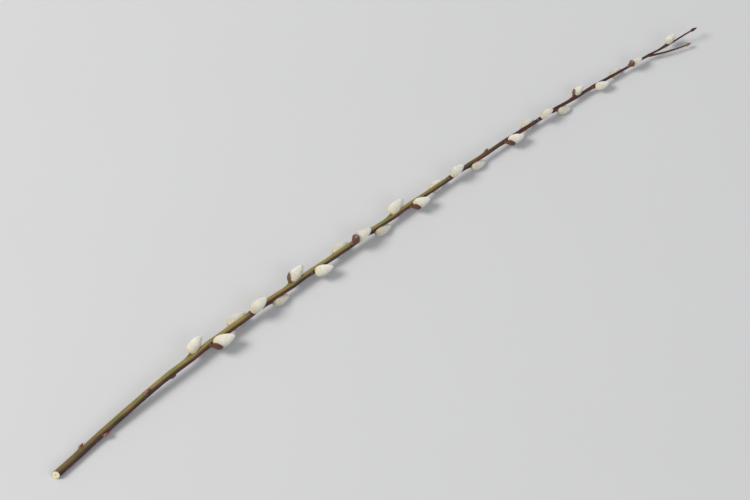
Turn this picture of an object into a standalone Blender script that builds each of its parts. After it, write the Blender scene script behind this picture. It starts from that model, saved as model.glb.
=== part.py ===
# A cut willow branch with its silky catkins, lying on the surface z = 0.
# It runs along X, with the cut end at -X and the tip at +X. The bark-covered rod, with its
# shoulders, closed buds, bud scales and side shoot, grew as one piece and is one object. Each
# catkin is an object of its own, seated on the shoulder of its node.

import math
import random

import bmesh
import bpy
from mathutils import Vector

MM = 0.001

# The rod
BRANCH_LENGTH = 720 * MM
BASE_RADIUS = 3.6 * MM
TIP_RADIUS = 0.6 * MM
TAPER_POWER = 0.75
ROD_SIDES = 12
CUT_SLOPE = 0.75  # how far the cut runs along the rod, per unit across it
CUT_ANGLE = math.radians(115)  # the side of the rod that the cut faces

# How it lies: a sideways bow, and a rise from the cut end up onto the catkins below the rod
BOW = 24 * MM
SWAY = 3.5 * MM
SWAY_TURNS = 1.3
SWAY_PHASE = 0.5
LIFT_NEAR_BASE = 10.8 * MM
LIFT_NEAR_TIP = 5.3 * MM
LIFT_RUN = 130 * MM
FLAT_RUN = 24 * MM
TIP_RISE = 7 * MM
TIP_RISE_FROM = 0.90  # of the length
ZIGZAG = 0.55 * MM

# The nodes: two-fifths of a turn apart, closer together towards the tip
NODE_TURN = math.radians(144)
FIRST_AZIMUTH = math.radians(18)
AZIMUTH_JITTER = math.radians(7)
FIRST_NODE = 34 * MM
LAST_NODE = 700 * MM
INTERNODE_BASE = 25.3 * MM
INTERNODE_TIP = 18 * MM
INTERNODE_JITTER = 0.10
CATKINS_FROM = 150 * MM
SHUT_NODE = 20  # its bud has stayed shut, between two catkins
SHOOT_NODE = 29  # it bears a side shoot
SEED = 12

# The shoulder that each catkin or bud sits on
SHOULDER_HEIGHT = 1.6 * MM
BUD_SHOULDER_HEIGHT = 0.8 * MM
SHOULDER_RUN = 11 * MM
SHOULDER_LEDGE = 1.1 * MM
SHOULDER_SPREAD = 2.2  # power of the cosine across the shoulder

# The catkins
CATKIN_LENGTH_BASE = 20 * MM
CATKIN_LENGTH_TIP = 12.5 * MM
CATKIN_SLIMNESS = 0.53  # width over length
CATKIN_SIZE_JITTER = 0.08
CATKIN_SIDES = 12
CATKIN_RINGS = 10
CATKIN_START = 0.05  # where the profile begins, as a share of the length
CATKIN_LAST_RING = 0.93
PROFILE_SKEW = 0.62
PROFILE_FULLNESS = 0.75
TUFT_RELIEF = 0.055  # of the radius: the staggered tufts of hair
CATKIN_LEAN = math.radians(23)
CATKIN_LEAN_JITTER = math.radians(5)
LEAST_LEAN = math.radians(5)
CATKIN_CURL = 0.07  # how far the tip bends back to the rod, as a share of the length
SEAT_STEP = 1.0 * MM
SEAT_HEIGHT = 0.6  # of the shoulder's height
SEAT_GAP = 0.35 * MM
PRESSED_DEPTH = 0.45 * MM  # how deep the silk is flattened where the catkin rests
PRESSED_BAND = 0.4 * MM  # silk this near to the surface is drawn down onto it

# The bud scales that still cling to some of the upper catkins
SCALE_EVERY = 2
SCALE_REACH = 0.40  # of the catkin's length
SCALE_THICKNESS = 0.6 * MM
SCALE_CLEARANCE = 0.8 * MM
SCALE_HALF_ANGLE = math.radians(58)
SCALE_ROOT_BACK = 2.4 * MM
SCALE_ROOT_WIDTH = 1.8 * MM
SCALE_ROWS = 5
SCALE_COLUMNS = 4

# The closed buds
BUD_LENGTH = 7 * MM
BUD_SLIMNESS = 0.42
BUD_TIP_SIZE = 0.7  # size of a bud at the tip, over one at the base
BUD_LEAN = math.radians(9)
BUD_BACK = 1.5 * MM
BUD_CLEARANCE = 0.4 * MM  # least height above the surface
BUD_SIDES = 8
BUD_RINGS = 6
END_BUD_LENGTH = 7 * MM
END_BUD_SWELL = 0.75 * MM

# The side shoot near the tip
SHOOT_LENGTH = 44 * MM
SHOOT_AZIMUTH = math.radians(192)
SHOOT_ANGLE = math.radians(21)
SHOOT_CURVE = 0.14
SHOOT_BASE_RADIUS = 1.05 * MM
SHOOT_TIP_RADIUS = 0.55 * MM
SHOOT_SIDES = 8
SHOOT_RINGS = 14

BARK = ((0.16, 0.052, 0.042), 0.42)
SILK = ((0.84, 0.83, 0.75), 0.85)
SMOOTH_UP_TO = math.radians(50)

UP = Vector((0, 0, 1))


def mix(a, b, share):
    return a + (b - a) * share


def smooth(x):
    """0 below 0, 1 above 1, and a smooth step between."""
    x = min(1.0, max(0.0, x))
    return x * x * (3 - 2 * x)


def above(point, least=0.0):
    """The point, raised to the given height if it would lie lower."""
    return Vector((point.x, point.y, max(point.z, least)))


def profile(share):
    """Half-width of a teardrop from its foot (0) to its tip (1), as a share of the widest."""
    return max(0.0, math.sin(math.pi * share**PROFILE_SKEW)) ** PROFILE_FULLNESS


# The line of the rod

def sideways(along):
    share = along / BRANCH_LENGTH
    sway = math.sin(2 * math.pi * SWAY_TURNS * share + SWAY_PHASE)
    return BOW * math.sin(math.pi * share) + SWAY * sway


def height(along):
    """Height of the rod's middle: flat on the surface at the cut end, then up on its catkins."""
    share = along / BRANCH_LENGTH
    at_base = rod_radius(along) * math.cos(math.pi / ROD_SIDES)
    lifted = mix(LIFT_NEAR_BASE, LIFT_NEAR_TIP, share)
    lifted += TIP_RISE * smooth((share - TIP_RISE_FROM) / (1 - TIP_RISE_FROM)) ** 2
    return mix(at_base, lifted, smooth((along - FLAT_RUN) / LIFT_RUN))


def middle_line(along):
    return Vector((along, sideways(along), height(along)))


def rod_frame(along):
    """(tangent, level sideways direction, upward direction) of the rod."""
    step = 2 * MM
    tangent = (middle_line(along + step) - middle_line(along - step)).normalized()
    level = UP.cross(tangent).normalized()
    return tangent, level, tangent.cross(level)


def outward(along, azimuth):
    _, level, up = rod_frame(along)
    return level * math.cos(azimuth) + up * math.sin(azimuth)


def rod_radius(along):
    """Radius of the bare rod, tapering to the tip, with the last bud swelling at its end."""
    share = min(1.0, max(0.0, along / BRANCH_LENGTH))
    taper = TIP_RADIUS + (BASE_RADIUS - TIP_RADIUS) * (1 - share) ** TAPER_POWER
    return with_end_bud(BRANCH_LENGTH - along, taper)


def with_end_bud(to_end, radius):
    """The radius, with a pointed bud over the last END_BUD_LENGTH of a rod or shoot."""
    if to_end >= END_BUD_LENGTH:
        return radius
    share = min(1.0, 1 - to_end / END_BUD_LENGTH)
    swell = END_BUD_SWELL * math.sin(math.pi * share**PROFILE_SKEW)
    return (radius + swell) * (1 - share**3)


# The nodes

def place_nodes():
    """Every node along the rod, as a dictionary, in order from the cut end."""
    draw = random.Random(SEED)
    nodes = []
    along = FIRST_NODE
    while along < LAST_NODE:
        share = along / BRANCH_LENGTH
        number = len(nodes)
        azimuth = FIRST_AZIMUTH + number * NODE_TURN + draw.uniform(-1, 1) * AZIMUTH_JITTER
        length = mix(CATKIN_LENGTH_BASE, CATKIN_LENGTH_TIP, smooth((share - 0.25) / 0.75))
        bears = "catkin"
        if along < CATKINS_FROM or number == SHUT_NODE:
            bears = "bud"
        if number == SHOOT_NODE:
            bears = "shoot"
            azimuth = SHOOT_AZIMUTH
        kink = 0.3 * ZIGZAG if bears == "bud" else ZIGZAG
        nodes.append(
            {
                "along": along,
                "azimuth": azimuth,
                "bears": bears,
                "length": length * (1 + draw.uniform(-1, 1) * CATKIN_SIZE_JITTER),
                "lean": CATKIN_LEAN + draw.uniform(-1, 1) * CATKIN_LEAN_JITTER,
                "shoulder": SHOULDER_HEIGHT if bears == "catkin" else BUD_SHOULDER_HEIGHT,
                "kink": outward(along, azimuth) * -kink,
            }
        )
        step = mix(INTERNODE_BASE, INTERNODE_TIP, share)
        along += step * (1 + draw.uniform(-1, 1) * INTERNODE_JITTER)
    return nodes


def centre(along, nodes):
    """The rod's middle: straight between two nodes, and kinked a little away from each catkin."""
    before, kink_before = 0.0, Vector()
    for node in nodes:
        if along <= node["along"]:
            share = (along - before) / (node["along"] - before)
            return middle_line(along) + kink_before.lerp(node["kink"], share)
        before, kink_before = node["along"], node["kink"]
    share = (along - before) / (BRANCH_LENGTH - before)
    return middle_line(along) + kink_before.lerp(Vector(), share)


def shoulder(along, azimuth, nodes):
    """How far the bark stands out from the bare rod: a wedge that ends in a ledge at each node."""
    stands_out = 0.0
    for node in nodes:
        before = node["along"] - along
        if not -SHOULDER_LEDGE < before < SHOULDER_RUN:
            continue
        if before > 0:
            rise = (1 - before / SHOULDER_RUN) ** 2
        else:
            rise = 1 + before / SHOULDER_LEDGE
        across = max(0.0, math.cos(azimuth - node["azimuth"])) ** SHOULDER_SPREAD
        stands_out = max(stands_out, node["shoulder"] * rise * across)
    return stands_out


# Meshes

def skin(name, rings, tip=None):
    """A closed object over rings of points, with a fan at each end, or a point at the far end."""
    mesh = bmesh.new()
    loops = [[mesh.verts.new(point) for point in ring] for ring in rings]
    sides = len(rings[0])
    start = mesh.verts.new(sum(rings[0], Vector()) / sides)
    end = mesh.verts.new(tip if tip is not None else sum(rings[-1], Vector()) / sides)
    for i in range(sides):
        j = (i + 1) % sides
        for low, high in zip(loops, loops[1:]):
            mesh.faces.new((low[i], low[j], high[j], high[i]))
        mesh.faces.new((start, loops[0][j], loops[0][i]))
        mesh.faces.new((end, loops[-1][i], loops[-1][j]))
    bmesh.ops.recalc_face_normals(mesh, faces=mesh.faces)
    data = bpy.data.meshes.new(name)
    mesh.to_mesh(data)
    mesh.free()
    obj = bpy.data.objects.new(name, data)
    bpy.context.scene.collection.objects.link(obj)
    return obj


def circle(middle, across, side, radius, sides):
    """A ring of points, the first one on the outer side."""
    angles = [2 * math.pi * i / sides for i in range(sides)]
    return [middle + (across * math.cos(a) + side * math.sin(a)) * radius for a in angles]


# The rod

def ring_stations(nodes):
    """Where the rod's rings lie: close together at each ledge, and wide apart between nodes."""
    stations = {0.0, 0.5 * FLAT_RUN, FLAT_RUN}
    for node in nodes:
        along = node["along"]
        stations.update((along - SHOULDER_RUN, along - 0.4 * SHOULDER_RUN, along, along + SHOULDER_LEDGE))
    bud_from = BRANCH_LENGTH - END_BUD_LENGTH
    stations.update(bud_from + END_BUD_LENGTH * share for share in (0, 0.2, 0.45, 0.75))
    kept = []
    for station in sorted(stations):
        if not kept or station - kept[-1] > 0.9 * MM:
            kept.append(station)
    return kept


def rod_ring(along, nodes):
    """One ring of the rod. The first is slanted by the cut, and the first few lie flat."""
    tangent, level, up = rod_frame(along)
    points = []
    for i in range(ROD_SIDES):
        azimuth = 2 * math.pi * (i + 0.5) / ROD_SIDES
        radius = rod_radius(along) + shoulder(along, azimuth, nodes)
        point = centre(along, nodes) + (level * math.cos(azimuth) + up * math.sin(azimuth)) * radius
        if along == 0:
            point += tangent * CUT_SLOPE * radius * (1 + math.cos(azimuth - CUT_ANGLE))
        if along <= FLAT_RUN and point.z < 0.1 * MM:
            point.z = 0
        points.append(point)
    return points


def build_rod(nodes):
    rings = [rod_ring(along, nodes) for along in ring_stations(nodes)]
    return skin("branch_rod", rings, centre(BRANCH_LENGTH, nodes))


# The catkins

def catkin_stand(node, nodes, lean):
    """How a catkin stands: its foot, its direction, and the two directions across it."""
    along = node["along"] + SEAT_STEP
    tangent, _, _ = rod_frame(along)
    away = outward(along, node["azimuth"])
    side = tangent.cross(away).normalized()
    direction = tangent * math.cos(lean) + away * math.sin(lean)
    return {
        "foot": centre(along, nodes) + away * (rod_radius(along) + SEAT_HEIGHT * node["shoulder"]),
        "direction": direction,
        "out": side.cross(direction).normalized(),
        "side": side,
        "length": node["length"],
        "radius": node["length"] * CATKIN_SLIMNESS / 2,
    }


def catkin_point(stand, share, angle, tuft=1.0, clearance=0.0):
    """A point of the teardrop: share along its bent axis, angle round it from its outer side."""
    axis = stand["foot"] + stand["direction"] * stand["length"] * (share - CATKIN_START)
    axis -= stand["out"] * CATKIN_CURL * stand["length"] * share**2
    radius = stand["radius"] * profile(share) * tuft + clearance
    return axis + (stand["out"] * math.cos(angle) + stand["side"] * math.sin(angle)) * radius


def clear_of_rod(point, node, nodes):
    """The point, moved straight out where it would lie in the rod: a catkin's back is flat."""
    along = min(point.x, BRANCH_LENGTH)
    away = outward(along, node["azimuth"])
    reach = (point - centre(along, nodes)).dot(away)
    return point + away * max(0.0, rod_radius(along) + SEAT_GAP - reach)


def catkin_rings(node, nodes, lean):
    """Rings of the teardrop, with alternate points in and out: its silky tufts, larger than life."""
    stand = catkin_stand(node, nodes, lean)
    rings = []
    for row in range(CATKIN_RINGS):
        share = mix(CATKIN_START, CATKIN_LAST_RING, row / (CATKIN_RINGS - 1))
        ring = []
        for i in range(CATKIN_SIDES):
            tuft = 1 + TUFT_RELIEF * (1 if (i + row) % 2 else -1) * (row > 0)
            angle = 2 * math.pi * i / CATKIN_SIDES
            ring.append(clear_of_rod(catkin_point(stand, share, angle, tuft), node, nodes))
        rings.append(ring)
    return rings, clear_of_rod(catkin_point(stand, 1.0, 0), node, nodes)


def resting_lean(node, nodes):
    """The catkin's own lean, or less where it would be pressed too far into the surface."""

    def fits(lean):
        rings, tip = catkin_rings(node, nodes, lean)
        lowest = min(point.z for ring in rings for point in ring)
        return min(lowest, tip.z) >= -PRESSED_DEPTH

    low, high = LEAST_LEAN, node["lean"]
    if fits(high):
        return high
    for _ in range(20):
        halfway = (low + high) / 2
        if fits(halfway):
            low = halfway
        else:
            high = halfway
    return low


def build_catkin(name, node, nodes):
    """One catkin, pressed flat where it rests on the surface, with its origin at its foot."""
    rings, tip = catkin_rings(node, nodes, node["resting_lean"])
    foot = catkin_stand(node, nodes, node["resting_lean"])["foot"]
    for point in [tip, *sum(rings, [])]:
        if point.z < PRESSED_BAND:
            point.z = 0
    catkin = skin(name, [[point - foot for point in ring] for ring in rings], tip - foot)
    catkin.location = foot
    return catkin


# What grows from the rod

def build_bud(node, nodes):
    """A shut bud lying along the rod, its foot sunk in the shoulder."""
    along = node["along"] - BUD_BACK
    tangent, _, _ = rod_frame(along)
    away = outward(along, node["azimuth"])
    length = BUD_LENGTH * mix(1.0, BUD_TIP_SIZE, along / BRANCH_LENGTH)
    foot = centre(along, nodes) + away * (rod_radius(along) + 0.3 * MM)
    direction = tangent * math.cos(BUD_LEAN) + away * math.sin(BUD_LEAN)
    side = tangent.cross(away)
    rings = []
    for row in range(BUD_RINGS):
        share = mix(0.06, 0.88, row / (BUD_RINGS - 1))
        radius = length * BUD_SLIMNESS / 2 * profile(share)
        ring = circle(foot + direction * length * share, side.cross(direction), side, radius, BUD_SIDES)
        rings.append([above(point, BUD_CLEARANCE) for point in ring])
    return skin("closed_bud", rings, above(foot + direction * length, BUD_CLEARANCE))


def build_scale(node, nodes):
    """A pointed bud scale that cups the outer side of a catkin's foot, rooted in the shoulder."""
    stand = catkin_stand(node, nodes, node["resting_lean"])
    root_along = node["along"] - SCALE_ROOT_BACK
    away = outward(root_along, node["azimuth"])
    root = centre(root_along, nodes) + away * (rod_radius(root_along) + 0.45 * node["shoulder"])
    columns = [mix(-1, 1, i / SCALE_COLUMNS) for i in range(SCALE_COLUMNS + 1)]

    def sheet(beyond):
        rows = [
            [root + stand["side"] * SCALE_ROOT_WIDTH / 2 * c + stand["out"] * beyond for c in columns]
        ]
        for row in range(SCALE_ROWS):
            part_way = row / (SCALE_ROWS - 1)
            share = mix(CATKIN_START, SCALE_REACH, part_way)
            opening = SCALE_HALF_ANGLE * math.cos(0.47 * math.pi * part_way**1.6)
            clearance = SCALE_CLEARANCE + beyond
            rows.append([catkin_point(stand, share, c * opening, 1.0, clearance) for c in columns])
        return rows

    rings = [inner + outer[::-1] for inner, outer in zip(sheet(0.0), sheet(SCALE_THICKNESS))]
    return skin("bud_scale", rings)


def build_shoot(node, nodes):
    """The thin side shoot near the tip, bent back along the rod, with a bud at its end."""
    tangent, _, _ = rod_frame(node["along"])
    away = outward(node["along"], node["azimuth"])
    side = tangent.cross(away)
    root = centre(node["along"], nodes)

    def point_at(share):
        out = math.sin(SHOOT_ANGLE) * share - SHOOT_CURVE * share**2
        return root + (tangent * math.cos(SHOOT_ANGLE) * share + away * out) * SHOOT_LENGTH

    rings = []
    for row in range(SHOOT_RINGS):
        share = 1 - (1 - row / SHOOT_RINGS) ** 1.5
        radius = mix(SHOOT_BASE_RADIUS, SHOOT_TIP_RADIUS, share)
        radius = with_end_bud(SHOOT_LENGTH * (1 - share), radius)
        forward = (point_at(share + 0.01) - point_at(share - 0.01)).normalized()
        rings.append(circle(point_at(share), forward.cross(side), side, radius, SHOOT_SIDES))
    return skin("side_shoot", rings, point_at(1.0))


def fuse(rod, growths):
    """Joins what grows from the rod to it, with one union."""
    group = bpy.data.collections.new("growths")
    bpy.context.scene.collection.children.link(group)
    for growth in growths:
        bpy.context.scene.collection.objects.unlink(growth)
        group.objects.link(growth)
    union = rod.modifiers.new("growths", "BOOLEAN")
    union.operation = "UNION"
    union.operand_type = "COLLECTION"
    union.collection = group
    union.solver = "EXACT"
    with bpy.context.temp_override(object=rod, active_object=rod, selected_objects=[rod]):
        bpy.ops.object.modifier_apply(modifier=union.name)
    for growth in growths:
        bpy.data.objects.remove(growth)
    bpy.data.collections.remove(group)


# The whole branch

def finish_surface(obj, finish):
    colour, roughness = finish
    material = bpy.data.materials.new(obj.name)
    material.use_nodes = True
    shader = material.node_tree.nodes["Principled BSDF"]
    shader.inputs["Base Color"].default_value = (*colour, 1)
    shader.inputs["Roughness"].default_value = roughness
    shader.inputs["Metallic"].default_value = 0
    obj.data.materials.clear()
    obj.data.materials.append(material)
    obj.data.shade_smooth()
    obj.data.set_sharp_from_angle(angle=SMOOTH_UP_TO)


def stand_on_origin(pieces):
    """Parents the pieces to an empty, placed so that the origin is under the branch's middle."""
    points = [obj.location + vert.co for obj in pieces for vert in obj.data.vertices]
    branch = bpy.data.objects.new("willow_branch", None)
    bpy.context.scene.collection.objects.link(branch)
    branch.location.x = -(min(p.x for p in points) + max(p.x for p in points)) / 2
    branch.location.y = -(min(p.y for p in points) + max(p.y for p in points)) / 2
    for obj in pieces:
        obj.parent = branch


def main():
    for obj in list(bpy.data.objects):
        bpy.data.objects.remove(obj)
    nodes = place_nodes()
    bearing = [node for node in nodes if node["bears"] == "catkin"]
    for node in bearing:
        node["resting_lean"] = resting_lean(node, nodes)
    cupped = [node for node in bearing if math.sin(node["azimuth"]) > 0][1::SCALE_EVERY]

    rod = build_rod(nodes)
    growths = [build_bud(node, nodes) for node in nodes if node["bears"] == "bud"]
    growths += [build_scale(node, nodes) for node in cupped]
    growths += [build_shoot(node, nodes) for node in nodes if node["bears"] == "shoot"]
    fuse(rod, growths)
    finish_surface(rod, BARK)

    catkins = [build_catkin(f"catkin_{i:02d}", node, nodes) for i, node in enumerate(bearing, 1)]
    for catkin in catkins:
        finish_surface(catkin, SILK)
    stand_on_origin([rod, *catkins])


main()
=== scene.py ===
# A cut willow branch with silky catkins, lying on a pale floor in soft studio light.
# Lengths are in millimetres until a mesh is made. "along" runs from the cut end to the tip,
# and "side" is the angle round the rod: 0 is level, and a quarter turn is straight up.

import math
import random

import bpy
import numpy as np
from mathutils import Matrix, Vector


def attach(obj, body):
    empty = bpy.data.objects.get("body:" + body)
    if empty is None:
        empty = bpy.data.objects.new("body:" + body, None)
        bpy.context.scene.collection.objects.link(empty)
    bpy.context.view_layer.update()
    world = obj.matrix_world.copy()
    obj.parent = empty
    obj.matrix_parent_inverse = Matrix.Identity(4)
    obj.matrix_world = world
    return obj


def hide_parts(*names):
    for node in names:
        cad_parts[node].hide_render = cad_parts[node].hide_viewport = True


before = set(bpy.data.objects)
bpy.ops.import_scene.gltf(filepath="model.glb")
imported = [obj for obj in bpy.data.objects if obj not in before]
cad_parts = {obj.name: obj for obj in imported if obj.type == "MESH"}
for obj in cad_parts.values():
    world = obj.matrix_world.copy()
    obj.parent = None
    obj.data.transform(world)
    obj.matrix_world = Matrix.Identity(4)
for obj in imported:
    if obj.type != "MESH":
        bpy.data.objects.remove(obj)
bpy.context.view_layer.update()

mm = 0.001
turn = 2 * np.pi


# Small helpers on whole arrays

def mix(a, b, share):  # a straight blend from a to b
    return a + (b - a) * share


def smooth(x):  # 0 below 0, 1 above 1, and a smooth step between
    x = np.clip(x, 0, 1)
    return x * x * (3 - 2 * x)


def bump(x, middle, halfWidth):  # 1 at the middle, falling like a bell curve
    return np.exp(-(((x - middle) / halfWidth) ** 2))


def unit(v):  # each row over its own length
    return v / np.maximum(np.linalg.norm(v, axis=-1, keepdims=True), 1e-12)


def angles(count):  # a whole turn in equal steps
    return np.arange(count) * turn / count


def teardrop(share, early=0.62, slim=0.75):
    # half-width over the widest, from a foot at 0 to a tip at 1: a power of the sine of a power
    return np.maximum(np.sin(np.pi * np.clip(share, 0, 1) ** early), 0) ** slim


def waves(x, y, seed, count=6, finest=9.0):
    # a soft pattern: a sum of cosines, each with whole turns in y, and weaker from one to the next
    draw = np.random.default_rng(seed)
    total = 0
    for number in range(count):
        rise = draw.uniform(1, finest) * draw.choice([-1, 1])
        turns = draw.integers(0, 4)
        start = draw.uniform(0, turn)
        total = total + np.cos(x * rise + y * turns + start) / (1 + number)
    return total / 2.5  # which keeps it between about -1 and 1


# The rod's line and where things grow on it, the same as in the solids

rodValues = {
    "length": 720.0,
    "baseRadius": 3.6,
    "tipRadius": 0.6,
    "taper": 0.75,
    "cutSlope": 0.75,
    "cutSide": math.radians(115),
    "cutReach": 12.0,  # how far along the slant of the cut fades out
    "bow": 24.0,
    "sway": 3.5,
    "swayTurns": 1.3,
    "swayPhase": 0.5,
    "liftBase": 10.8,
    "liftTip": 5.3,
    "liftRun": 130.0,
    "flatRun": 24.0,
    "tipRise": 7.0,
    "tipRiseFrom": 0.90,
    "zigzag": 0.55,
    "endBudLength": 7.0,
    "endBudSwell": 0.75,
    "endBudEarly": 0.62,  # below 1, it is widest nearer its foot
    "endBudClosing": (3, 0.75),  # the powers of the curve that closes it
    "shoulderRun": 11.0,
    "shoulderLedge": 1.1,
    "shoulderSpread": 2.2,
    "solidSides": 12,
    "frameStep": 2.0,  # a direction is taken between points this far to either side
    "origin": (-359.9028, -13.5107, 0.0),  # puts the middle of the branch's box over the origin
}

nodeValues = {
    "turn": math.radians(144),
    "firstSide": math.radians(18),
    "sideJitter": math.radians(7),
    "first": 34.0,
    "last": 700.0,
    "stepBase": 25.3,
    "stepTip": 18.0,
    "stepJitter": 0.10,
    "catkinsFrom": 150.0,
    "shutNode": 20,
    "shootNode": 29,
    "shootSide": math.radians(192),
    "lengthBase": 20.0,
    "lengthTip": 12.5,
    "shorterFrom": 0.25,
    "sizeJitter": 0.08,
    "catkinShoulder": 1.6,
    "budShoulder": 0.8,
    "budKink": 0.3,  # of the zigzag
    "seed": 12,
}


def endBudRadius(toEnd, radius):
    # a bud over the last stretch: a swelling like a teardrop, closed by a power curve
    v = rodValues
    share = np.clip(1 - toEnd / v["endBudLength"], 0, 1)
    swell = v["endBudSwell"] * np.sin(np.pi * share ** v["endBudEarly"])
    blunt, power = v["endBudClosing"]
    return (radius + swell) * (1 - share**blunt) ** power


def rodRadius(along):
    # the tip's radius plus a share that falls with a power of the way to the tip
    v = rodValues
    share = np.clip(along / v["length"], 0, 1)
    taper = v["tipRadius"] + (v["baseRadius"] - v["tipRadius"]) * (1 - share) ** v["taper"]
    return endBudRadius(v["length"] - along, taper)


def middleLine(along):
    # sideways: half a sine wave and a small sway; height: flat at the cut end, then lifted
    v = rodValues
    along = np.asarray(along, float)
    share = along / v["length"]
    sideways = v["bow"] * np.sin(np.pi * share)
    sideways = sideways + v["sway"] * np.sin(turn * v["swayTurns"] * share + v["swayPhase"])
    atBase = rodRadius(along) * math.cos(np.pi / v["solidSides"])
    lifted = mix(v["liftBase"], v["liftTip"], share)
    rise = smooth((share - v["tipRiseFrom"]) / (1 - v["tipRiseFrom"])) ** 2
    height = mix(atBase, lifted + v["tipRise"] * rise, smooth((along - v["flatRun"]) / v["liftRun"]))
    return np.stack([along, sideways, height], axis=-1)


def rodFrame(along):
    # the direction of the line, the level direction across it, and the upward one
    step = rodValues["frameStep"]
    tangent = unit(middleLine(along + step) - middleLine(along - step))
    level = unit(np.cross([0.0, 0.0, 1.0], tangent))
    return tangent, level, np.cross(tangent, level)


def outward(along, side):
    # from the rod's middle out to a side: level times its cosine plus upward times its sine
    _, level, up = rodFrame(np.asarray(along, float))
    side = np.asarray(side)[..., None]
    return level * np.cos(side) + up * np.sin(side)


def placeNodes():
    # each node is a step further along and two fifths of a turn further round, both a little uneven
    v = nodeValues
    draw = random.Random(v["seed"])
    found = []
    along = v["first"]
    while along < v["last"]:
        share = along / rodValues["length"]
        number = len(found)
        side = v["firstSide"] + number * v["turn"] + draw.uniform(-1, 1) * v["sideJitter"]
        shorter = float(smooth((share - v["shorterFrom"]) / (1 - v["shorterFrom"])))
        length = mix(v["lengthBase"], v["lengthTip"], shorter)
        length = length * (1 + draw.uniform(-1, 1) * v["sizeJitter"])
        draw.uniform(-1, 1)  # the solid's own lean, which standOf reads back from it
        bears = "bud" if along < v["catkinsFrom"] or number == v["shutNode"] else "catkin"
        if number == v["shootNode"]:
            bears, side = "shoot", v["shootSide"]
        kink = rodValues["zigzag"] * (v["budKink"] if bears == "bud" else 1.0)
        found.append({
            "along": along,
            "side": side,
            "bears": bears,
            "length": length,
            "shoulder": v["catkinShoulder"] if bears == "catkin" else v["budShoulder"],
            "kink": outward(along, side) * -kink,
        })
        along += mix(v["stepBase"], v["stepTip"], share) * (1 + draw.uniform(-1, 1) * v["stepJitter"])
    return found


nodes = placeNodes()
kinkStops = np.array([0.0] + [node["along"] for node in nodes] + [rodValues["length"]])
kinks = np.array([np.zeros(3)] + [node["kink"] for node in nodes] + [np.zeros(3)])


def centre(along):
    # the smooth line, plus a kink away from each catkin, straight between two nodes
    along = np.asarray(along, float)
    kink = [np.interp(along, kinkStops, kinks[:, axis]) for axis in range(3)]
    return middleLine(along) + np.stack(kink, axis=-1)


def shoulder(along, side):
    # a wedge that rises as a square up to each node and drops at its ledge, times a power of a cosine
    v = rodValues
    out = np.zeros(np.broadcast(along, side).shape)
    for node in nodes:
        before = node["along"] - along
        wedge = np.clip(1 - before / v["shoulderRun"], 0, 1) ** 2
        ledge = smooth(1 + before / v["shoulderLedge"])
        across = np.maximum(np.cos(side - node["side"]), 0) ** v["shoulderSpread"]
        out = np.maximum(out, node["shoulder"] * np.where(before > 0, wedge, ledge) * across)
    return out


# Making meshes from grids

def closedGrids(points):
    # for each grid, rings joined by quads into a tube, with a fan of triangles over each end
    count, rows, columns = points.shape[:3]
    vertices = np.concatenate([points.reshape(count, -1, 3), points[:, [0, -1]].mean(2)], 1)
    row, column = np.meshgrid(np.arange(rows - 1), np.arange(columns), indexing="ij")
    here, beside = row * columns + column, row * columns + (column + 1) % columns
    quads = np.stack([here, beside, beside + columns, here + columns], -1).reshape(-1, 4)
    first = np.arange(columns)
    last = first + (rows - 1) * columns
    starts = np.stack([np.full(columns, rows * columns), np.roll(first, -1), first], -1)
    ends = np.stack([np.full(columns, rows * columns + 1), last, np.roll(last, -1)], -1)
    before = np.arange(count)[:, None, None] * vertices.shape[1]
    triangles = np.concatenate([starts, ends])
    return vertices.reshape(-1, 3), (quads + before).reshape(-1, 4), (triangles + before).reshape(-1, 3)


def gridValues(values, start, end):
    # a value for each vertex of closedGrids: the grid's own, then one for each end
    values = values.reshape(len(values), -1)
    return np.concatenate([values, np.tile([start, end], (len(values), 1))], 1).ravel()


def newObject(name, data):
    # an object at the origin, in the scene
    made = bpy.data.objects.new(name, data)
    bpy.context.scene.collection.objects.link(made)
    return made


def makePiece(name, shape, materials, values, replaced, faceMaterials=None, sharpFrom=60):
    # one object at the origin: its quads, then its triangles, with named values at its vertices
    vertices, quads, triangles = shape
    placed = (vertices + rodValues["origin"]) * mm
    mesh = bpy.data.meshes.new(name)
    mesh.from_pydata(placed.tolist(), [], quads.tolist() + triangles.tolist())
    for material in materials:
        mesh.materials.append(material)
    if faceMaterials is not None:
        mesh.polygons.foreach_set("material_index", np.asarray(faceMaterials, np.int32))
    for key, numbers in values.items():
        layer = mesh.attributes.new(key, "FLOAT", "POINT")
        layer.data.foreach_set("value", np.asarray(numbers, np.float32))
    mesh.update()
    mesh.shade_smooth()
    mesh.set_sharp_from_angle(angle=math.radians(sharpFrom))
    piece = newObject(name, mesh)
    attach(piece, "root")
    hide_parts(replaced)
    print(name + ":", len(quads) + len(triangles), "faces")


# Shader helpers, and the grain that every finish uses

def addNode(tree, kind, place, **settings):
    # a node at a column and a row of the node editor, with its settings
    node = tree.nodes.new(kind)
    node.location = (place[0] * 200, place[1] * 200)
    for key, value in settings.items():
        setattr(node, key, value)
    return node


def feed(tree, socket, value):
    # a socket is linked, a colour gets its alpha, and a number is set
    if isinstance(value, bpy.types.NodeSocket):
        tree.links.new(value, socket)
    else:
        socket.default_value = (*value, 1) if isinstance(value, tuple) else value


def blendColours(tree, factor, a, b, place):
    # a straight blend from colour a to colour b
    node = addNode(tree, "ShaderNodeMix", place, data_type="RGBA")
    for socket, value in ((node.inputs[0], factor), (node.inputs[6], a), (node.inputs[7], b)):
        feed(tree, socket, value)
    return node.outputs[2]


def layered(tree, colour, coats, place):
    # colours laid over the first one in turn, each by its own factor
    for factor, over in coats:
        colour = blendColours(tree, factor, colour, over, place)
        place = (place[0] + 1, place[1])
    return colour


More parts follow.
